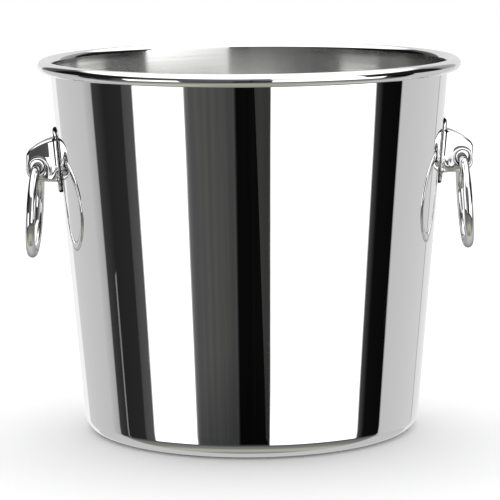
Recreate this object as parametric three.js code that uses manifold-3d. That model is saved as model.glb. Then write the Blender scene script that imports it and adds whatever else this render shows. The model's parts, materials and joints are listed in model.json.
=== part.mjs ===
// Stainless steel ice bucket: a tapered, deep-drawn bowl with a curled rim, and a loose ring
// handle on each side. Each ring hangs in the eye of a cast bracket, which is one lug on one
// base plate, and the base plate is spot-welded to the wall.
//
// Units are millimetres, +Z is up. The origin is the centre of the base, on the resting plane.
// The handles sit on the +X and -X sides.

import * as THREE from 'three';
import { mergeVertices } from 'three/addons/utils/BufferGeometryUtils.js';
import Module from 'manifold-3d';

// ---- driving dimensions ----
const RIM_DIAMETER = 215; // over the curled rim
const HEIGHT = 190;
const WALL_FOOT_RADIUS = 85.3; // outer wall line, carried down to the resting plane
const WALL_TAPER = THREE.MathUtils.degToRad(4.88); // lean of the wall from vertical
const SHEET = 0.9; // sheet thickness of the bowl
const CORNER_RADIUS = 8; // outer radius between wall and base

const CURL_WIDTH = 7.2; // curled rim, measured radially
const CURL_HEIGHT = 6.35;
const CURL_END_ANGLE = THREE.MathUtils.degToRad(-128); // where the curl stops, short of the wall

const RECESS_RADIUS = 62; // raised middle of the base, so that it stands on a ring
const RECESS_HEIGHT = 1.2;
const RECESS_SLOPE = 4;

const FIT_GAP = 0.3; // air between the wall and a bracket, in place of the welds

const PLATE_WIDTH = 18;
const PLATE_HEIGHT = 33;
const PLATE_THICKNESS = 1.6;
const PLATE_CORNER = 6;
const PLATE_MIDDLE_Z = 139.9;

const LUG_WIDTH = 9.4; // at the nose
const LUG_DRAFT = THREE.MathUtils.degToRad(11); // each side face leans in by this towards the nose
const LUG_EDGE = 2; // rounding of the lug's edges and of the eye's mouths
const LUG_TOP_Z = 151.8; // where the lug's top edge would meet the wall
const LUG_BOTTOM_Z = 129.2;
const LUG_REACH_X = 114; // outermost point of the lug
const LUG_FOOT_X = 107.4; // where the flat underside ends
const NOSE_LOW_Z = 135.2; // the upright part of the nose
const NOSE_HIGH_Z = 141.5;
const NOSE_ROUND = 2.2; // how far the nose's own rounding pulls the top edge up
const SHOULDER_REACH = 5; // how far behind the nose the top edge bends most
const SHOULDER_DROP = 1.6;

const WIRE_DIAMETER = 4.8;
const RING_DIAMETER = 49.2; // over the wire
const PIVOT_X = 108.6; // middle of the wire where it passes through the eye
const PIVOT_Z = 136.3;
const EYE_DIAMETER = 6.8; // narrowest width of the eye, halfway through it
const EYE_RISE = 0.4; // the wire hangs this far below the middle of the eye
const RING_LEAN = THREE.MathUtils.degToRad(3.8); // the hanging ring leans away from the wall
// Each ring has also turned a little in its loose eye.
const RIGHT_RING_TURN = THREE.MathUtils.degToRad(-1.2);
const LEFT_RING_TURN = THREE.MathUtils.degToRad(-2.9);
const HANDLE_RISE = 1.3; // the right handle is welded on this much high, and the left one low

// ---- facet counts ----
const ROUND_SEGMENTS = 96;
const CURL_STEPS = 12;
const CORNER_STEPS = 5;
const PLATE_CORNER_STEPS = 4;
const LUG_SIDE_STEPS = 8;
const LUG_EDGE_STEPS = 4;
const EYE_SEGMENTS = 32;
const MOUTH_STEPS = 4;
const RING_SEGMENTS = 56;
const RING_WIRE_SEGMENTS = 14;
const SAME_POINT = 1e-4; // points closer than this are one point

const wasm = await Module();
wasm.setup();

const wallSlope = Math.tan(WALL_TAPER);
const wallRadius = (z, offset = 0) => WALL_FOOT_RADIUS + z * wallSlope + offset / Math.cos(WALL_TAPER);

function polishedSteel() {
  return new THREE.MeshStandardMaterial({ color: 0xd9dbdd, roughness: 0.06, metalness: 1 });
}

// ---- helpers ----

// Points along an elliptical arc in the (radius, height) plane.
function arc(centreR, centreZ, radiusR, radiusZ, from, to, steps) {
  const points = [];
  for (let i = 0; i <= steps; i += 1) {
    const angle = from + ((to - from) * i) / steps;
    points.push(new THREE.Vector2(centreR + radiusR * Math.cos(angle), centreZ + radiusZ * Math.sin(angle)));
  }
  return points;
}

// A (radius, height) outline turned about the Z axis.
function turned(outline) {
  const geometry = new THREE.LatheGeometry(outline, ROUND_SEGMENTS);
  geometry.rotateX(Math.PI / 2);
  return geometry;
}

function toManifold(geometry) {
  const bare = geometry.clone();
  bare.deleteAttribute('normal');
  bare.deleteAttribute('uv');
  const merged = mergeVertices(bare, SAME_POINT);
  return new wasm.Manifold(
    new wasm.Mesh({
      numProp: 3,
      vertProperties: Float32Array.from(merged.attributes.position.array),
      triVerts: Uint32Array.from(merged.index.array),
    }),
  );
}

function toGeometry(solid) {
  const mesh = solid.getMesh();
  const geometry = new THREE.BufferGeometry();
  geometry.setAttribute('position', new THREE.BufferAttribute(Float32Array.from(mesh.vertProperties), 3));
  geometry.setIndex(new THREE.BufferAttribute(Uint32Array.from(mesh.triVerts), 1));
  geometry.computeVertexNormals();
  return geometry;
}

function piece(name, geometry) {
  const mesh = new THREE.Mesh(geometry, polishedSteel());
  mesh.name = name;
  return mesh;
}

// ---- bowl ----

// One sheet, drawn from the underside's centre out along the outside of the wall, around the
// curl to its free end, and back along the inside.
function bowlOutline() {
  const cornerR = wallRadius(CORNER_RADIUS, -CORNER_RADIUS);
  const innerCorner = CORNER_RADIUS - SHEET;
  const recessOuter = RECESS_RADIUS + RECESS_SLOPE;

  const curlA = CURL_WIDTH / 2;
  const curlB = CURL_HEIGHT / 2;
  const curlR = RIM_DIAMETER / 2 - curlA;
  const curlZ = HEIGHT - curlB;
  // The curl leaves the wall where its own tangent has the wall's lean.
  const curlStart = Math.PI - Math.atan((wallSlope * curlB) / curlA);
  const curlInner = (from, to, steps) => arc(curlR, curlZ, curlA - SHEET, curlB - SHEET, from, to, steps);
  const curlOuter = (from, to, steps) => arc(curlR, curlZ, curlA, curlB, from, to, steps);

  return [
    new THREE.Vector2(0, RECESS_HEIGHT),
    new THREE.Vector2(RECESS_RADIUS, RECESS_HEIGHT),
    new THREE.Vector2(recessOuter, 0),
    ...arc(cornerR, CORNER_RADIUS, CORNER_RADIUS, CORNER_RADIUS, -Math.PI / 2, -WALL_TAPER, CORNER_STEPS),
    ...curlInner(curlStart, CURL_END_ANGLE, CURL_STEPS),
    ...curlOuter(CURL_END_ANGLE, curlStart, CURL_STEPS),
    ...arc(cornerR, CORNER_RADIUS, innerCorner, innerCorner, -WALL_TAPER, -Math.PI / 2, CORNER_STEPS),
    new THREE.Vector2(recessOuter, SHEET),
    new THREE.Vector2(RECESS_RADIUS, RECESS_HEIGHT + SHEET),
    new THREE.Vector2(0, RECESS_HEIGHT + SHEET),
  ];
}

// ---- handle fittings, drawn on the +X side ----

// A solid cone that fills the bowl's outer wall out to the given distance from it.
function wallCone(offset) {
  const low = PLATE_MIDDLE_Z - PLATE_HEIGHT;
  const high = PLATE_MIDDLE_Z + PLATE_HEIGHT;
  return toManifold(
    turned([
      new THREE.Vector2(0, low),
      new THREE.Vector2(wallRadius(low, offset), low),
      new THREE.Vector2(wallRadius(high, offset), high),
      new THREE.Vector2(0, high),
    ]),
  );
}

function plateShape() {
  const halfW = PLATE_WIDTH / 2;
  const halfH = PLATE_HEIGHT / 2;
  const shape = new THREE.Shape();
  shape.moveTo(halfW, -halfH + PLATE_CORNER);
  shape.lineTo(halfW, halfH - PLATE_CORNER);
  shape.absarc(halfW - PLATE_CORNER, halfH - PLATE_CORNER, PLATE_CORNER, 0, Math.PI / 2);
  shape.absarc(-halfW + PLATE_CORNER, halfH - PLATE_CORNER, PLATE_CORNER, Math.PI / 2, Math.PI);
  shape.absarc(-halfW + PLATE_CORNER, -halfH + PLATE_CORNER, PLATE_CORNER, Math.PI, 1.5 * Math.PI);
  shape.absarc(halfW - PLATE_CORNER, -halfH + PLATE_CORNER, PLATE_CORNER, 1.5 * Math.PI, 2 * Math.PI);
  return shape;
}

// The base plate's face follows the wall's curve and taper.
function plateBlank() {
  const blank = new THREE.ExtrudeGeometry(plateShape(), {
    depth: RIM_DIAMETER / 2,
    bevelEnabled: false,
    curveSegments: PLATE_CORNER_STEPS,
  });
  blank.rotateX(Math.PI / 2);
  blank.rotateZ(Math.PI / 2);
  blank.translate(0, 0, PLATE_MIDDLE_Z);
  return toManifold(blank).intersect(wallCone(FIT_GAP + PLATE_THICKNESS));
}

// Side view of the lug, as (outward, up), drawn inside its edges by the rounding that is added
// round it. Its back runs into the plate.
function lugShape() {
  const back = wallRadius(LUG_BOTTOM_Z) - LUG_EDGE;
  const nose = LUG_REACH_X - LUG_EDGE;
  const top = LUG_TOP_Z - LUG_EDGE;
  const bottom = LUG_BOTTOM_Z + LUG_EDGE;

  const shape = new THREE.Shape();
  shape.moveTo(back, bottom);
  shape.lineTo(LUG_FOOT_X, bottom);
  shape.quadraticCurveTo(nose, bottom, nose, NOSE_LOW_Z);
  shape.lineTo(nose, NOSE_HIGH_Z);
  shape.bezierCurveTo(nose, NOSE_HIGH_Z + NOSE_ROUND, nose - SHOULDER_REACH, top - SHOULDER_DROP, back, top);
  shape.closePath();
  return shape;
}

const lugHalfWidth = (x) => LUG_WIDTH / 2 + (LUG_REACH_X - x) * Math.tan(LUG_DRAFT);

function lugBlank() {
  const blank = new THREE.ExtrudeGeometry(lugShape(), {
    depth: LUG_WIDTH - 2 * LUG_EDGE,
    bevelEnabled: true,
    bevelThickness: LUG_EDGE,
    bevelSize: LUG_EDGE,
    bevelSegments: LUG_EDGE_STEPS,
    curveSegments: LUG_SIDE_STEPS,
  });
  blank.translate(0, 0, LUG_EDGE - LUG_WIDTH / 2);
  blank.rotateX(Math.PI / 2);
  const { position } = blank.attributes;
  for (let i = 0; i < position.count; i += 1) {
    const widening = lugHalfWidth(position.getX(i)) / lugHalfWidth(LUG_REACH_X);
    position.setY(i, position.getY(i) * widening);
  }
  return toManifold(blank);
}

// The eye is narrowest halfway through and flares to a rounded mouth at each face.
function eyeCutter() {
  const throat = EYE_DIAMETER / 2;
  const straight = lugHalfWidth(PIVOT_X) - LUG_EDGE;
  const beyond = LUG_WIDTH;
  const mouthRadius = throat + LUG_EDGE;
  const outline = [
    new THREE.Vector2(0, -beyond),
    new THREE.Vector2(mouthRadius, -beyond),
    ...arc(mouthRadius, -straight, LUG_EDGE, LUG_EDGE, 1.5 * Math.PI, Math.PI, MOUTH_STEPS),
    ...arc(mouthRadius, straight, LUG_EDGE, LUG_EDGE, Math.PI, 0.5 * Math.PI, MOUTH_STEPS),
    new THREE.Vector2(mouthRadius, beyond),
    new THREE.Vector2(0, beyond),
  ];
  const cutter = new THREE.LatheGeometry(outline, EYE_SEGMENTS);
  cutter.translate(PIVOT_X, 0, PIVOT_Z + EYE_RISE);
  return toManifold(cutter);
}

// The bracket is one casting: the lug stands on the plate.
function bracketGeometry() {
  return toGeometry(plateBlank().add(lugBlank()).subtract(wallCone(FIT_GAP)).subtract(eyeCutter()));
}

// The ring hangs below its pivot, which is the middle of its wire at the top.
function ringGeometry() {
  const wire = WIRE_DIAMETER / 2;
  const middle = RING_DIAMETER / 2 - wire;
  const ring = new THREE.TorusGeometry(middle, wire, RING_WIRE_SEGMENTS, RING_SEGMENTS);
  ring.rotateY(Math.PI / 2);
  ring.translate(0, 0, -middle);
  return ring;
}

// A handle that is welded on higher sits further out, because the wall leans out.
function handle(side, turn, rise, ringTurn) {
  const group = new THREE.Group();
  group.rotation.z = turn;
  group.position.set(rise * wallSlope * Math.cos(turn), 0, rise);
  group.add(piece(`${side}_bracket`, bracketGeometry()));

  const ring = piece(`${side}_ring`, ringGeometry());
  ring.position.set(PIVOT_X, 0, PIVOT_Z);
  ring.rotation.set(0, -RING_LEAN, ringTurn, 'ZYX');
  group.add(ring);
  return group;
}

const bucket = new THREE.Group();
bucket.add(piece('bowl', turned(bowlOutline())));
bucket.add(handle('right', 0, HANDLE_RISE, RIGHT_RING_TURN));
bucket.add(handle('left', Math.PI, -HANDLE_RISE, LEFT_RING_TURN));

export default bucket;
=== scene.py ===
# Stainless steel ice bucket with two ring handles, in metres, in the frame of the CAD model.
# Sizes come from the frame's boxes and joints; the rest are named below, in millimetres times MM.

import json
import math

import bpy
import numpy as np
from mathutils import Matrix, Vector


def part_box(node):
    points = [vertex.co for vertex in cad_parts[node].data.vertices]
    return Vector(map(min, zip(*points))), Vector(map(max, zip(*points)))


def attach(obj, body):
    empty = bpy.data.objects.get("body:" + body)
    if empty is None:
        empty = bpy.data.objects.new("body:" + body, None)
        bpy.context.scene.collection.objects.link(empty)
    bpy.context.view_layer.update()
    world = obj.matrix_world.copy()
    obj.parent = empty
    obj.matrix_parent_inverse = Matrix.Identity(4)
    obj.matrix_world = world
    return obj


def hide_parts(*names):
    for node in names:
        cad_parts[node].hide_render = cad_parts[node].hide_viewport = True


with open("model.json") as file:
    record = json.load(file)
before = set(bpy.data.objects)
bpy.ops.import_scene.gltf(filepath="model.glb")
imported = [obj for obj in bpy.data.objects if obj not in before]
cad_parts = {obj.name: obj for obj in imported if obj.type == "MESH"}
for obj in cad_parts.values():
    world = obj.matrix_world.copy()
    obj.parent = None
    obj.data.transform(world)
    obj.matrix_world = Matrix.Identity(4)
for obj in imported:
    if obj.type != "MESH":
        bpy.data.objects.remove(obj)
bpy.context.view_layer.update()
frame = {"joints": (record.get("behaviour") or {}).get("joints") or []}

MM = 0.001
SIDES = ("right", "left")

# ---- the frame's own sizes ----
_, bowl_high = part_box("bowl")
bracket_low, bracket_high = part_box("right_bracket")
ring_low, ring_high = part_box("right_ring")
PIVOT = {side: Vector(j["pos_m"]) for side in SIDES for j in frame["joints"] if j["child"] == f"{side}_ring"}

RIM_RADIUS = bowl_high.x
HEIGHT = bowl_high.z
# The handles differ a little in height, so both are built at their mean place and then moved.
PIVOT_X = (PIVOT["right"].x - PIVOT["left"].x) / 2
PIVOT_Z = (PIVOT["right"].z + PIVOT["left"].z) / 2
RISE = PIVOT["right"].z - PIVOT_Z  # the right one goes up by this, and the left one down
SHIFT = PIVOT["right"].x - PIVOT_X
PLATE_MIDDLE_Z = (bracket_low.z + bracket_high.z) / 2 - RISE
PLATE_HALF_HEIGHT = (bracket_high.z - bracket_low.z) / 2
PLATE_HALF_WIDTH = bracket_high.y
LUG_REACH = bracket_high.x - SHIFT

# ---- bowl ----
WALL_FOOT_RADIUS = 85.3 * MM  # outer wall line, carried down to the floor
WALL_TAPER = math.radians(4.88)
WALL_SLOPE = math.tan(WALL_TAPER)
SHEET = 0.9 * MM
CORNER_RADIUS = 8 * MM
CURL_WIDTH = 7.2 * MM
CURL_HEIGHT = 6.35 * MM
CURL_END = math.radians(-128)  # where the curl's free edge lies, round the curl's middle
RECESS_RADIUS = 62 * MM  # the base is raised inside its foot
RECESS_HEIGHT = 1.2 * MM
RECESS_SLOPE = 4 * MM
WAVE = 0.008 * MM  # how far polishing has left the wall out of true
WAVE_FADE = 30 * MM  # the waves die away over this height, at the foot and below the rim
WALL_STEPS = 48
BOWL_AROUND = 288

# ---- brackets ----
FIT_GAP = 0.3 * MM  # between wall and plate in the CAD model
PLATE_THICKNESS = 1.6 * MM
PLATE_CORNER = 6 * MM
PLATE_EDGE = 1.1 * MM
CREVICE_SHADE_HEIGHT = 0.5 * MM  # height of the painted shade along the wall, in the crevice where the plate meets it
CREVICE_SHADE_AT_ENDS = 5  # the painted shade is higher by this many times at the plate's two ends
# the painted crevice shade is also made rougher, up to this
CREVICE_SHADE_ROUGHNESS = 0.5
LUG_TOP_Z = 151.3 * MM  # where the lug's top leaves the plate
LUG_TOP_FALL = math.radians(13.5)
LUG_TOP_RADIUS = 30 * MM
LUG_BOTTOM_Z = 129.2 * MM
LUG_FOOT_ROUND = 6 * MM
LUG_BROW_ROUND = 1.5 * MM
NOSE_HALF_WIDTH = 4.7 * MM
LUG_DRAFT = math.radians(11)  # the lug narrows from the plate to its nose
LUG_EDGE = 1.5 * MM
FLARE = 1.1 * MM  # the lug spreads where it meets the plate
FLARE_REACH = 2.2 * MM
FILLET = 0.7 * MM
EYE_RISE = 0.4 * MM  # the wire hangs this far below the middle of the eye
EYE_RADIUS = 3.4 * MM
EYE_STRAIGHT = 2.4 * MM  # half-length of the narrow part
MOUTH_DEPTH = 3 * MM  # over this length the eye widens by MOUTH_WIDTH
MOUTH_WIDTH = 1.2 * MM
MOUTH_REACH = 1.6  # and it goes on widening up to this many times that length
MOUTH_ROUND = 1.2 * MM
NET_STEP = 0.4 * MM  # size of the mesh's cells
NET_MARGIN = 1.5 * MM
SETTLE_ROUNDS = 8

# ---- rings ----
WIRE_RADIUS = 2.4 * MM
RING_RADIUS = (ring_high.y - ring_low.y) / 2 - WIRE_RADIUS
RING_LEAN = math.radians(3.8)
RING_TURN = {"right": math.radians(-1.2), "left": math.radians(-2.9)}
RING_AROUND = 180
WIRE_AROUND = 36


def wall_radius(z, offset=0.0):
    """Radius of the wall's outside at a height, or of a surface that stands off it by an offset."""
    return WALL_FOOT_RADIUS + z * WALL_SLOPE + offset / math.cos(WALL_TAPER)


# ---------------------------------------------------------------- meshes

def link(name, data):
    thing = bpy.data.objects.new(name, data)
    bpy.context.scene.collection.objects.link(thing)
    return thing


def mesh_object(name, points, faces, materials, face_material=None):
    mesh = bpy.data.meshes.new(name)
    mesh.from_pydata(np.asarray(points).tolist(), [], [list(map(int, f)) for f in faces])
    mesh.shade_smooth()
    for material in materials:
        mesh.materials.append(material)
    if face_material is not None:
        mesh.polygons.foreach_set("material_index", np.asarray(face_material, dtype=np.int32))
    mesh.update()
    return link(name, mesh)


def stand_for(piece, node, body):
    """Puts a piece in the place of a CAD node, on the body that it moves with."""
    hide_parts(node)
    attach(piece, body)


# ---------------------------------------------------------------- bowl

OUTSIDE, INSIDE = 0, 1


def arc(centre_r, centre_z, radius_r, radius_z, start, end, steps):
    angles = np.linspace(start, end, steps + 1)
    return [(centre_r + radius_r * math.cos(a), centre_z + radius_z * math.sin(a)) for a in angles]


def line(start, end, steps):
    return [tuple(p) for p in np.linspace(start, end, steps + 1)]


def bowl_outline():
    """The sheet's outline as (radius, z) points, and the side of the sheet that each segment is on.

    It runs from the axis under the base, up the outside, round the curl to its free end and
    back, and down the inside to the axis again.
    """
    corner_r = wall_radius(CORNER_RADIUS, -CORNER_RADIUS)
    inner_corner = CORNER_RADIUS - SHEET
    recess_outer = RECESS_RADIUS + RECESS_SLOPE
    curl_a, curl_b = CURL_WIDTH / 2, CURL_HEIGHT / 2
    curl_r, curl_z = RIM_RADIUS - curl_a, HEIGHT - curl_b
    curl_start = math.pi - math.atan(WALL_SLOPE * curl_b / curl_a)

    corner = arc(corner_r, CORNER_RADIUS, CORNER_RADIUS, CORNER_RADIUS, -math.pi / 2, -WALL_TAPER, 18)
    curl_in = arc(curl_r, curl_z, curl_a - SHEET, curl_b - SHEET, curl_start, CURL_END, 26)
    curl_out = arc(curl_r, curl_z, curl_a, curl_b, CURL_END, curl_start, 44)
    inner = arc(corner_r, CORNER_RADIUS, inner_corner, inner_corner, -WALL_TAPER, -math.pi / 2, 12)
    stretches = [
        (line((0, RECESS_HEIGHT), (RECESS_RADIUS, RECESS_HEIGHT), 6), OUTSIDE),
        (line((RECESS_RADIUS, RECESS_HEIGHT), (recess_outer, 0), 4), OUTSIDE),
        (line((recess_outer, 0), corner[0], 3), OUTSIDE),
        (corner, OUTSIDE),
        (line(corner[-1], curl_in[0], WALL_STEPS), OUTSIDE),
        (curl_in, OUTSIDE),
        (line(curl_in[-1], curl_out[0], 2), OUTSIDE),
        (curl_out, OUTSIDE),
        (line(curl_out[-1], inner[0], WALL_STEPS), INSIDE),
        (inner, INSIDE),
        (line(inner[-1], (recess_outer, SHEET), 3), INSIDE),
        (line((recess_outer, SHEET), (RECESS_RADIUS, RECESS_HEIGHT + SHEET), 4), INSIDE),
        (line((RECESS_RADIUS, RECESS_HEIGHT + SHEET), (0, RECESS_HEIGHT + SHEET), 8), INSIDE),
    ]
    points, sides = [stretches[0][0][0]], []
    for stretch, side in stretches:
        points.extend(stretch[1:])
        sides.extend([side] * (len(stretch) - 1))
    return points, sides


def polishing_waves(angle, z):
    """Long, shallow waves along the wall, which make its reflections run a little uneven."""
    waves = np.sin(9 * angle + 1.3 + 14 * z) + 0.7 * np.sin(17 * angle + 0.4 - 22 * z)
    waves = waves + 0.5 * np.sin(31 * angle + 2.1 + 9 * z) + 0.4 * np.sin(5 * angle + 60 * z)
    above_foot = np.clip((z - CORNER_RADIUS) / WAVE_FADE, 0, 1)
    below_rim = np.clip((HEIGHT - 8 * MM - z) / WAVE_FADE, 0, 1)
    return WAVE * waves * (above_foot * below_rim)


def revolve(points, sides, around):
    """Turns an outline that starts and ends on the Z axis into one closed mesh."""
    outline = np.array(points[1:-1])
    angle = 2 * math.pi * np.arange(around) / around
    z = np.repeat(outline[:, 1:2], around, axis=1)
    r = outline[:, 0:1] + polishing_waves(angle[None, :], z)
    hoops = np.stack([r * np.cos(angle), r * np.sin(angle), z], axis=-1).reshape(-1, 3)
    verts = np.vstack([[(0, 0, points[0][1])], hoops, [(0, 0, points[-1][1])]])
    last = len(verts) - 1
    top = 1 + (len(outline) - 1) * around
    faces, marks = [], []
    for k in range(around):
        n = (k + 1) % around
        faces.append((0, 1 + n, 1 + k))
        faces.append((top + k, top + n, last))
        marks.extend([sides[0], sides[-1]])
    for i in range(len(outline) - 1):
        low, high = 1 + i * around, 1 + (i + 1) * around
        for k in range(around):
            n = (k + 1) % around
            faces.append((low + k, low + n, high + n, high + k))
            marks.append(sides[i + 1])
    return verts, faces, marks


def make_bowl(outside, inside):
    points, sides = bowl_outline()
    verts, faces, marks = revolve(points, sides, BOWL_AROUND)
    bowl = mesh_object("bowl_shell", verts, faces, [outside, inside], marks)
    stand_for(bowl, "bowl", "bucket")


# ---------------------------------------------------------------- brackets

def rounded_and(a, b, r):
    """Where two solids overlap, with the edge between them rounded; a and b are signed distances."""
    return np.minimum(-r, np.maximum(a, b)) + np.hypot(np.maximum(r + a, 0), np.maximum(r + b, 0))


def rounded_or(a, b, r):
    """Two solids joined by a fillet."""
    return np.maximum(r, np.minimum(a, b)) - np.hypot(np.maximum(r - a, 0), np.maximum(r - b, 0))


def plate_distance(out, across, z):
    """The base plate: it follows the wall, and its outline is an upright oblong with round corners."""
    corner_y = across - (PLATE_HALF_WIDTH - PLATE_CORNER)
    corner_z = np.abs(z - PLATE_MIDDLE_Z) - (PLATE_HALF_HEIGHT - PLATE_CORNER)
    outline = np.hypot(np.maximum(corner_y, 0), np.maximum(corner_z, 0)) - PLATE_CORNER
    outline = outline + np.minimum(np.maximum(corner_y, corner_z), 0)
    plate = rounded_and(outline, out - FIT_GAP - PLATE_THICKNESS, PLATE_EDGE)
    return np.maximum(plate, -out)


def lug_distance(out, x, across, z):
    """The lug: an arched top that falls to a blunt nose, and sides that spread at the plate."""
    root_x = wall_radius(LUG_TOP_Z, FIT_GAP + PLATE_THICKNESS)
    centre_x = root_x - LUG_TOP_RADIUS * math.sin(LUG_TOP_FALL)
    centre_z = LUG_TOP_Z - LUG_TOP_RADIUS * math.cos(LUG_TOP_FALL)
    top = np.hypot(x - centre_x, z - centre_z) - LUG_TOP_RADIUS
    profile = rounded_and(top, x - LUG_REACH, LUG_BROW_ROUND)
    profile = rounded_and(profile, LUG_BOTTOM_Z - z, LUG_FOOT_ROUND)
    half_width = NOSE_HALF_WIDTH + (LUG_REACH - x) * math.tan(LUG_DRAFT)
    half_width = half_width + FLARE * np.exp((FIT_GAP + PLATE_THICKNESS - out) / FLARE_REACH)
    side = (across - half_width) * math.cos(LUG_DRAFT)
    return np.maximum(rounded_and(profile, side, LUG_EDGE), PLATE_THICKNESS / 2 - out)


def eye_distance(x, across, z):
    """The eye narrows halfway through and flares towards both faces of the lug."""
    depth = np.clip((across - EYE_STRAIGHT) / MOUTH_DEPTH, 0, MOUTH_REACH)
    radius = EYE_RADIUS + MOUTH_WIDTH * depth**2
    steepness = 2 * MOUTH_WIDTH * depth / MOUTH_DEPTH
    from_middle = np.hypot(x - PIVOT_X, z - PIVOT_Z - EYE_RISE)
    return (from_middle - radius) / np.sqrt(1 + steepness**2)


def from_wall(p):
    """How far points stand off the wall's outside."""
    return (np.hypot(p[..., 0], p[..., 1]) - wall_radius(p[..., 2])) * math.cos(WALL_TAPER)


def bracket_distance(p):
    """The casting at the handles' mean height; it touches the wall, without the CAD model's fit gap."""
    x, across, z = p[..., 0], np.abs(p[..., 1]), p[..., 2]
    out = from_wall(p)
    solid = rounded_or(plate_distance(out, across, z), lug_distance(out, x, across, z), FILLET)
    return rounded_and(solid, -eye_distance(x, across, z), MOUTH_ROUND)


def gradient(distance, p):
    """The slope of a distance at points, from differences along each axis."""
    reach = 0.02 * MM
    parts = []
    for axis in range(3):
        step = np.zeros(3)
        step[axis] = reach
        parts.append((distance(p + step) - distance(p - step)) / (2 * reach))
    return np.stack(parts, axis=-1)


def contour(distance, low, high, step):
    """A quad mesh of the surface where the distance is 0, by surface nets on a regular grid."""
    counts = [int(math.ceil((b - a) / step)) + 1 for a, b in zip(low, high)]
    axes = [a + step * np.arange(n) for a, n in zip(low, counts)]
    grid = np.stack(np.meshgrid(*axes, indexing="ij"), axis=-1)
    value = distance(grid)
    cells = [n - 1 for n in counts]
    total, crossings = np.zeros((*cells, 3)), np.zeros(cells)
    rings = []
    for axis in range(3):
        here = value.take(range(counts[axis] - 1), axis)
        there = value.take(range(1, counts[axis]), axis)
        crossed = (here < 0) != (there < 0)
        at = np.argwhere(crossed)
        point = grid[tuple(at.T)].copy()
        point[:, axis] += step * here[crossed] / (here[crossed] - there[crossed])
        u, w = (axis + 1) % 3, (axis + 2) % 3
        around = []
        for du, dw in ((0, 0), (-1, 0), (-1, -1), (0, -1)):
            cell = at.copy()
            cell[:, u] += du
            cell[:, w] += dw
            np.add.at(total, tuple(cell.T), point)
            np.add.at(crossings, tuple(cell.T), 1)
            around.append(cell)
        rings.append((around, here[crossed] < 0))
    used = crossings > 0
    number = np.full(cells, -1)
    number[used] = np.arange(used.sum())
    points = total[used] / crossings[used][:, None]
    faces = []
    for around, leaving in rings:
        quad = np.stack([number[tuple(cell.T)] for cell in around], axis=1)
        quad[~leaving] = quad[~leaving][:, ::-1]
        faces.append(quad)
    return points, np.concatenate(faces)


def settle(distance, points, faces, rounds):
    """Evens out a contour's points along the surface and puts them back on it."""
    edges = np.concatenate([faces[:, [0, 1]], faces[:, [1, 2]], faces[:, [2, 3]], faces[:, [3, 0]]])
    edges = np.unique(np.sort(edges, axis=1), axis=0)
    valence = np.bincount(edges.ravel(), minlength=len(points))[:, None]
    for _ in range(rounds):
        mean = np.zeros_like(points)
        np.add.at(mean, edges[:, 0], points[edges[:, 1]])
        np.add.at(mean, edges[:, 1], points[edges[:, 0]])
        points = points + 0.5 * (mean / valence - points)
        for _ in range(2):
            slope = gradient(distance, points)
            steepness = np.maximum((slope**2).sum(axis=1), 0.05)
            points = points - (distance(points) / steepness)[:, None] * slope
    normals = gradient(distance, points)
    return points, normals / np.linalg.norm(normals, axis=1, keepdims=True)


def crevice_shade_amount(points):
    """Painted crevice shade: 1 along the wall where the plate meets it, and most of all at the plate's two
    ends.
    """
    past_middle = np.abs(points[:, 2] - PLATE_MIDDLE_Z)
    ends = np.clip((past_middle - PLATE_HALF_HEIGHT + 2 * MM) / (1.5 * MM), 0, 1)
    height = CREVICE_SHADE_HEIGHT * (1 + CREVICE_SHADE_AT_ENDS * ends)
    return np.clip(1.5 - from_wall(points) / height, 0, 1)


def make_brackets(material):
    """Meshes one casting, and places it on the right and, turned half round, on the left."""
    half_width, half_height = PLATE_HALF_WIDTH + NET_MARGIN, PLATE_HALF_HEIGHT + NET_MARGIN
    low = (wall_radius(0) + NET_MARGIN, -half_width, PLATE_MIDDLE_Z - half_height)
    high = (LUG_REACH + NET_MARGIN, half_width, PLATE_MIDDLE_Z + half_height)
    points, faces = contour(bracket_distance, low, high, NET_STEP)
    points, normals = settle(bracket_distance, points, faces, SETTLE_ROUNDS)
    # painted shade: how far each point is darkened where the plate meets the wall
    crevice_shade = crevice_shade_amount(points)
    for side, turn in zip(SIDES, (1, -1)):
        place = points * (turn, turn, 1) + (SHIFT, 0, turn * RISE)
        bracket = mesh_object(f"{side}_bracket_casting", place, faces, [material])
        bracket.data.normals_split_custom_set_from_vertices((normals * (turn, turn, 1)).tolist())
        bracket.data.attributes.new("crevice_shade", "FLOAT", "POINT").data.foreach_set("value", crevice_shade)
        stand_for(bracket, f"{side}_bracket", "bucket")


# ---------------------------------------------------------------- rings

def ring_points(around, wire):
    """A round wire ring that hangs from the middle of its wire, before it leans or turns."""
    a = (2 * math.pi * np.arange(around) / around)[:, None]
    b = (2 * math.pi * np.arange(wire) / wire)[None, :]
    reach = RING_RADIUS + WIRE_RADIUS * np.cos(b)
    x = WIRE_RADIUS * np.sin(b) + 0 * a
    return np.stack([x, reach * np.sin(a), reach * np.cos(a) - RING_RADIUS], axis=-1).reshape(-1, 3)


def ring_faces(around, wire):
    i, j = np.meshgrid(np.arange(around), np.arange(wire), indexing="ij")
    next_i, next_j = (i + 1) % around, (j + 1) % wire
    corners = [i * wire + j, i * wire + next_j, next_i * wire + next_j, next_i * wire + j]
    return np.stack(corners, axis=-1).reshape(-1, 4)


def make_rings(material):
    """Hangs each ring from its pivot, which lies in the middle of its wire."""
    points, faces = ring_points(RING_AROUND, WIRE_AROUND), ring_faces(RING_AROUND, WIRE_AROUND)
    lean = Matrix.Rotation(-RING_LEAN, 3, "Y")
    for side, turn in zip(SIDES, (1, -1)):
        hang = Matrix.Rotation(RING_TURN[side], 3, "Z") @ lean
        place = points @ np.array(hang).T * (turn, turn, 1) + np.array(PIVOT[side])
        ring = mesh_object(f"{side}_ring_wire", place, faces, [material])
        stand_for(ring, f"{side}_ring", f"{side}_ring")


# ---------------------------------------------------------------- node trees

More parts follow.
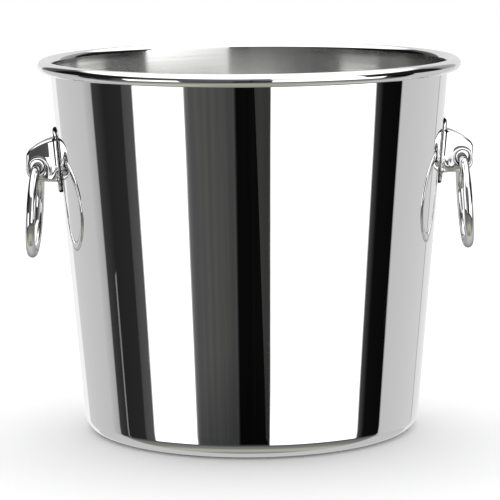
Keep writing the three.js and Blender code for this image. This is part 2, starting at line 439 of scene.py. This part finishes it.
class Nodes:
    """A node tree that is built with short calls; each one returns a node or its output."""

    def __init__(self, tree):
        self.tree = tree
        tree.nodes.clear()

    def add(self, kind, inputs=None, **settings):
        node = self.tree.nodes.new(kind)
        for key, value in settings.items():
            setattr(node, key, value)
        for key, value in (inputs or {}).items():
            self.plug(node.inputs[key], value)
        return node

    def plug(self, socket, value):
        if isinstance(value, bpy.types.NodeSocket):
            self.tree.links.new(value, socket)
        else:
            socket.default_value = value

    def math(self, operation, *values):
        return self.add("ShaderNodeMath", dict(enumerate(values)), operation=operation).outputs[0]

    def step(self, value, start, end, low=0.0, high=1.0):
        """Goes from low, before start, to high, after end."""
        inputs = {"Value": value, "From Min": start, "From Max": end, "To Min": low, "To Max": high}
        return self.add("ShaderNodeMapRange", inputs, interpolation_type="SMOOTHSTEP").outputs[0]

    def mix(self, factor, a, b):
        colour = [(*v, 1) if isinstance(v, tuple) else v for v in (a, b)]
        return self.add("ShaderNodeMix", {0: factor, 6: colour[0], 7: colour[1]}, data_type="RGBA").outputs[2]

    def noise(self, vector, scale, detail=2.0):
        return self.add("ShaderNodeTexNoise", {"Vector": vector, "Scale": scale, "Detail": detail}).outputs[0]

    def stretched(self, vector, scale):
        return self.add("ShaderNodeMapping", {"Vector": vector, "Scale": scale}).outputs[0]


# ---------------------------------------------------------------- materials

STEEL = (0.86, 0.86, 0.86)
SATIN_STEEL = (0.78, 0.78, 0.77)
# near-black colour painted into the brackets' crevice against the wall, as shade
CREVICE_SHADE_COLOUR = (0.015, 0.015, 0.017)
EDGE_TINT = (0.35, 0.35, 0.36)  # wire and castings darken towards their outlines


def new_material(name):
    material = bpy.data.materials.new(name)
    material.use_nodes = True
    return material, Nodes(material.node_tree)


def finish_material(nodes, inputs):
    shader = nodes.add("ShaderNodeBsdfPrincipled", {"Metallic": 1.0, **inputs})
    nodes.add("ShaderNodeOutputMaterial", {"Surface": shader.outputs[0]})


def polished_steel():
    """Mirror finish, with faint upright polishing lines and a few smudges."""
    material, n = new_material("polished_steel")
    place = n.add("ShaderNodeTexCoord").outputs["Object"]
    smudges = n.step(n.noise(place, scale=28.0, detail=4.0), 0.5, 0.75, low=0.012, high=0.05)
    lines = n.noise(n.stretched(place, (900.0, 900.0, 12.0)), scale=1.0, detail=3.0)
    bump = n.add("ShaderNodeBump", {"Height": lines, "Strength": 0.03, "Distance": 0.02 * MM})
    finish_material(n, {"Base Color": (*STEEL, 1), "Roughness": smudges, "Normal": bump.outputs[0]})
    return material


def satin_steel():
    """The inside: brushed round and round, so that it blurs what it mirrors mostly up and down."""
    material, n = new_material("satin_steel")
    place = n.add("ShaderNodeTexCoord").outputs["Object"]
    grain = n.noise(n.stretched(place, (20.0, 20.0, 2600.0)), scale=1.0, detail=3.0)
    roughness = n.step(grain, 0.2, 0.8, low=0.12, high=0.19)
    bump = n.add("ShaderNodeBump", {"Height": grain, "Strength": 0.12, "Distance": 0.02 * MM})
    tangent = n.add("ShaderNodeTangent", direction_type="RADIAL", axis="Z").outputs[0]
    finish_material(n, {
        "Base Color": (*SATIN_STEEL, 1), "Roughness": roughness, "Normal": bump.outputs[0],
        "Anisotropic": 0.75, "Anisotropic Rotation": 0.25, "Tangent": tangent,
    })
    return material


def cast_steel():
    """The brackets: polished castings, a little less true than the wall."""
    material, n = new_material("cast_steel")
    place = n.add("ShaderNodeTexCoord").outputs["Object"]
    smudges = n.step(n.noise(place, scale=140.0, detail=3.0), 0.4, 0.7, low=0.02, high=0.07)
    swell = n.noise(place, scale=320.0, detail=1.0)
    bump = n.add("ShaderNodeBump", {"Height": swell, "Strength": 0.3, "Distance": 0.05 * MM})
    # painted shade: the castings turn near black and rougher in the crevice against the wall
    crevice_shade = n.add("ShaderNodeAttribute", attribute_name="crevice_shade").outputs["Fac"]
    roughness = n.math("MAXIMUM", smudges, n.math("MULTIPLY", crevice_shade, CREVICE_SHADE_ROUGHNESS))
    finish_material(n, {
        "Base Color": n.mix(crevice_shade, STEEL, CREVICE_SHADE_COLOUR), "Roughness": roughness,
        "Normal": bump.outputs[0], "Specular Tint": (*EDGE_TINT, 1),
    })
    return material


def wire_steel():
    """The rings: polished wire with faint scratches from rubbing in the eye."""
    material, n = new_material("wire_steel")
    place = n.add("ShaderNodeTexCoord").outputs["Object"]
    scratches = n.noise(n.stretched(place, (1200.0, 1200.0, 150.0)), scale=1.0, detail=4.0)
    roughness = n.step(scratches, 0.45, 0.8, low=0.02, high=0.08)
    bump = n.add("ShaderNodeBump", {"Height": scratches, "Strength": 0.08, "Distance": 0.02 * MM})
    finish_material(n, {
        "Base Color": (*STEEL, 1), "Roughness": roughness, "Normal": bump.outputs[0],
        "Specular Tint": (*EDGE_TINT, 1),
    })
    return material


# ---------------------------------------------------------------- studio

CAMERA_TURN = math.radians(1.5)  # how far the camera stands to the left of the bucket's front
CAMERA_DISTANCE = 1367.9 * MM
CAMERA_HEIGHT = 296.1 * MM
CAMERA_PITCH = 0.149  # radians downwards
CAMERA_ROLL = -0.008
CAMERA_LENS = 193.94  # focal length for a sensor this wide, both in millimetres
CAMERA_SENSOR = 36
CAMERA_SHIFT = -0.001

# What stands round the bucket at its own height, as cards and gaps from left to right. Each is
# (to azimuth, grey level at its left edge, grey level at its right edge), with azimuth in degrees
# to the right of the camera and the level, from 0 to 255, that the polished wall shows.
WHITE = 300
ROUND = [
    (-151, 226, 238),
    (-112, 200, 188),
    (-104, 183, 163),
    (-94.5, 58, 38),
    (-79, 35, 38),
    (-71, 68, 80),
    (-38.2, WHITE, WHITE),
    (-35, 104, 88),
    (-8.5, 82, 67),
    (2.4, 10, 10),
    (12.4, 54, 52),
    (78, WHITE, WHITE),
    (83.5, 68, 20),
    (99, 12, 9),
    (145, 190, 203),
    (146, 130, 130),
    (180, 214, 229),
]
# The same above the bucket's rim, where the cards are lit less evenly.
UPPER = [
    (-150, 215, 215),
    (-128, 100, 60),
    (-101, 18, 18),
    (-84, 25, 25),
    (-66, 25, 35),
    (-38.2, 60, 70),
    (12.4, 85, 105),
    (65, 235, 300),
    (76, 60, 30),
    (92, 22, 30),
    (127, 25, 30),
    (150, 130, 170),
    (180, 215, 215),
]
EDGE = 0.7  # degrees over which one card changes to the next

# What is not the same all the way up the cards, in degrees of azimuth and elevation.
BLACK_LEFT = 2
BLACK_EDGE = -10.4  # the black card's slanting right edge, carried up to the horizon
BLACK_SLANT = -0.9  # and how far it moves for each degree up
BLACK_LEVEL = 11
GAP = (-96, -94.7)  # a thin gap on the left, only below GAP_TOP
GAP_TOP = -15.4
GAP_LEVEL = 122
FRONT_CARDS = (-37, 12)  # the dark cards in front, which hang in folds
FOLD_DARK = (0.85, 0.83, 0.89)
FOLD_LIGHT = (1.09, 1.09, 1.0)
LOWER_PART = (-22.4, -20)  # and darken towards their lower edge
LOWER_SHADE = (0.62, 0.64, 0.66)

# Where each layer of the studio begins, in degrees of elevation, from and to.
CARDS_FOOT = (-25.2, -24.2)
UPPER_FOOT = (-3, 3)
CEILING = (34, 42)
# The floor in front, from the bucket's foot outwards. Each zone takes over from the one before
# between two elevations, and has a level and a tint. The floor beside and behind is plain.
FOOT_ZONE = (135, (1, 1, 0.92))
FLOOR_ZONES = [
    ((-80, -66), 168, (1, 1, 0.86)),
    ((-60, -42), 116, (1, 1, 0.94)),
    ((-36, -26), 74, (0.94, 1, 1.03)),
]
BESIDE = (96, 108)
BESIDE_LEVEL = 190

# The light that falls on the floor itself.
DOME = 1.21
DOME_BACK = 1.1  # the dome is brighter behind by this, and darker in front
MIRRORED = 0.9  # most that the bucket mirrors down on the floor, at its sides
FLOOR_HALF = 3.0
FLOOR_DROP = 0.1 * MM  # the sheet lies just under the foot, so that the two never share a plane
PAPER = ((0.92, 0.92, 0.925), (0.94, 0.94, 0.94))
WHITE_LIGHT = (1.0, 1.0, 1.0)


def shown_as(level, tint=(1, 1, 1)):
    """The light that polished steel shows at a grey level from 0 to 255, by sRGB's own curve."""
    value = level / 255
    light = value / 12.92 if value < 0.04 else ((value + 0.055) / 1.055) ** 2.4
    return tuple(light / STEEL[0] * t for t in tint)


def card_ring(n, azimuth, cards):
    """The cards' light at an azimuth, from one colour ramp for the left half and one for the right."""
    halves = []
    for start, end in ((-180, 0), (0, 180)):
        stops, left = [], -180
        for right, level_left, level_right in cards:
            a, b = max(left + EDGE / 2, start), min(right - EDGE / 2, end)
            if a < b:
                stops.append((a, level_left))
                stops.append((b, level_right))
            left = right
        place = n.add("ShaderNodeMapRange", {"Value": azimuth, "From Min": start, "From Max": end}).outputs[0]
        ramp = n.add("ShaderNodeValToRGB", {"Fac": place})
        elements = ramp.color_ramp.elements
        elements.remove(elements[-1])
        for index, (at, level) in enumerate(stops):
            position = (at - start) / (end - start)
            element = elements[0] if index == 0 else elements.new(position)
            element.position = position
            element.color = (*shown_as(level), 1)
        halves.append(ramp.outputs[0])
    return n.mix(n.math("GREATER_THAN", azimuth, 0.0), *halves)


def band(n, value, start, end):
    """1 between start and end, and 0 outside."""
    return n.math("MULTIPLY", n.math("GREATER_THAN", value, start), n.math("LESS_THAN", value, end))


def card_details(n, light, azimuth, elevation):
    """What is not the same all the way up the cards: a slanting edge, a thin gap and folds."""
    black_edge = n.math("MULTIPLY_ADD", elevation, BLACK_SLANT, BLACK_EDGE)
    light = n.mix(band(n, azimuth, BLACK_LEFT, black_edge), light, shown_as(BLACK_LEVEL))
    gap = n.math("MULTIPLY", band(n, azimuth, *GAP), n.math("LESS_THAN", elevation, GAP_TOP))
    light = n.mix(gap, light, shown_as(GAP_LEVEL))
    folded = n.add("ShaderNodeCombineXYZ", {"X": azimuth, "Y": n.math("MULTIPLY", elevation, 0.3)}).outputs[0]
    folds = n.step(n.noise(folded, scale=0.22, detail=3.0), 0.3, 0.7)
    folds = n.mix(folds, FOLD_DARK, FOLD_LIGHT)
    lower = n.mix(n.step(elevation, *LOWER_PART), LOWER_SHADE, WHITE_LIGHT)
    for shade in (folds, lower):
        shade = n.mix(band(n, azimuth, *FRONT_CARDS), WHITE_LIGHT, shade)
        light = n.add("ShaderNodeMix", {0: 1.0, 6: light, 7: shade}, data_type="RGBA", blend_type="MULTIPLY")
        light = light.outputs[2]
    return light


def sky_for_the_floor(n, x, y):
    """The light that falls on the floor, mostly from behind, and what the bucket mirrors down on it."""
    dome = n.math("MULTIPLY_ADD", y, DOME_BACK, DOME)
    mirrored = n.step(n.math("ABSOLUTE", x), 0.3, 0.8, low=0.0, high=MIRRORED)
    after_mirror = n.math("GREATER_THAN", n.add("ShaderNodeLightPath").outputs["Glossy Depth"], 0.5)
    return n.mix(after_mirror, dome, mirrored)


def make_world():
    """The studio by direction, from the floor below up to the ceiling."""
    world = bpy.data.worlds.new("studio")
    bpy.context.scene.world = world
    world.use_nodes = True
    n = Nodes(world.node_tree)
    direction = n.add("ShaderNodeTexCoord").outputs["Generated"]
    turn = {"Vector": direction, "Angle": CAMERA_TURN}
    turned = n.add("ShaderNodeVectorRotate", turn, rotation_type="Z_AXIS").outputs[0]
    x, y, z = n.add("ShaderNodeSeparateXYZ", {"Vector": turned}).outputs
    azimuth = n.math("DEGREES", n.math("ARCTAN2", x, n.math("MULTIPLY", y, -1.0)))
    elevation = n.math("DEGREES", n.math("ARCSINE", z))

    light = shown_as(*FOOT_ZONE)
    for heights, level, tint in FLOOR_ZONES:
        light = n.mix(n.step(elevation, *heights), light, shown_as(level, tint))
    beside = n.step(n.math("ABSOLUTE", azimuth), *BESIDE)
    light = n.mix(beside, light, shown_as(BESIDE_LEVEL))
    cards = card_details(n, card_ring(n, azimuth, ROUND), azimuth, elevation)
    light = n.mix(n.step(elevation, *CARDS_FOOT), light, cards)
    light = n.mix(n.step(elevation, *UPPER_FOOT), light, card_ring(n, azimuth, UPPER))
    light = n.mix(n.step(elevation, *CEILING), light, shown_as(WHITE))

    # The floor is lit by a plain dome, and the camera sees the backdrop as white.
    path = n.add("ShaderNodeLightPath")
    floor_light = sky_for_the_floor(n, x, y)
    light = n.mix(n.math("GREATER_THAN", path.outputs["Diffuse Depth"], 0.5), light, floor_light)
    light = n.mix(path.outputs["Is Camera Ray"], light, WHITE_LIGHT)
    background = n.add("ShaderNodeBackground", {"Color": light})
    n.add("ShaderNodeOutputWorld", {"Surface": background.outputs[0]})


def make_floor():
    """A plain white floor; mirrors look past it, to the floor that the world holds."""
    half = FLOOR_HALF
    corners = [(-half, -half, 0), (half, -half, 0), (half, half, 0), (-half, half, 0)]
    material, n = new_material("floor_paper")
    grain = n.noise(n.add("ShaderNodeTexCoord").outputs["Object"], scale=4.0)
    paper = n.add("ShaderNodeBsdfDiffuse", {"Color": n.mix(grain, *PAPER)})
    n.add("ShaderNodeOutputMaterial", {"Surface": paper.outputs[0]})
    floor = mesh_object("floor", corners, [(0, 1, 2, 3)], [material])
    floor.location.z = -FLOOR_DROP
    floor.visible_glossy = False


def make_camera():
    data = bpy.data.cameras.new("camera")
    data.lens = CAMERA_LENS
    data.sensor_width = CAMERA_SENSOR
    data.shift_x = CAMERA_SHIFT
    camera = link("camera", data)
    side, ahead = math.sin(CAMERA_TURN), math.cos(CAMERA_TURN)
    camera.location = (-CAMERA_DISTANCE * side, -CAMERA_DISTANCE * ahead, CAMERA_HEIGHT)
    level = math.cos(CAMERA_PITCH)
    forward = Vector((side * level, ahead * level, -math.sin(CAMERA_PITCH)))
    look = forward.to_track_quat("-Z", "Y").to_matrix() @ Matrix.Rotation(CAMERA_ROLL, 3, "Z")
    camera.rotation_euler = look.to_euler()
    bpy.context.scene.camera = camera


bpy.context.scene.view_settings.view_transform = "Standard"
make_bowl(polished_steel(), satin_steel())
make_brackets(cast_steel())
make_rings(wire_steel())
make_world()
make_floor()
make_camera()
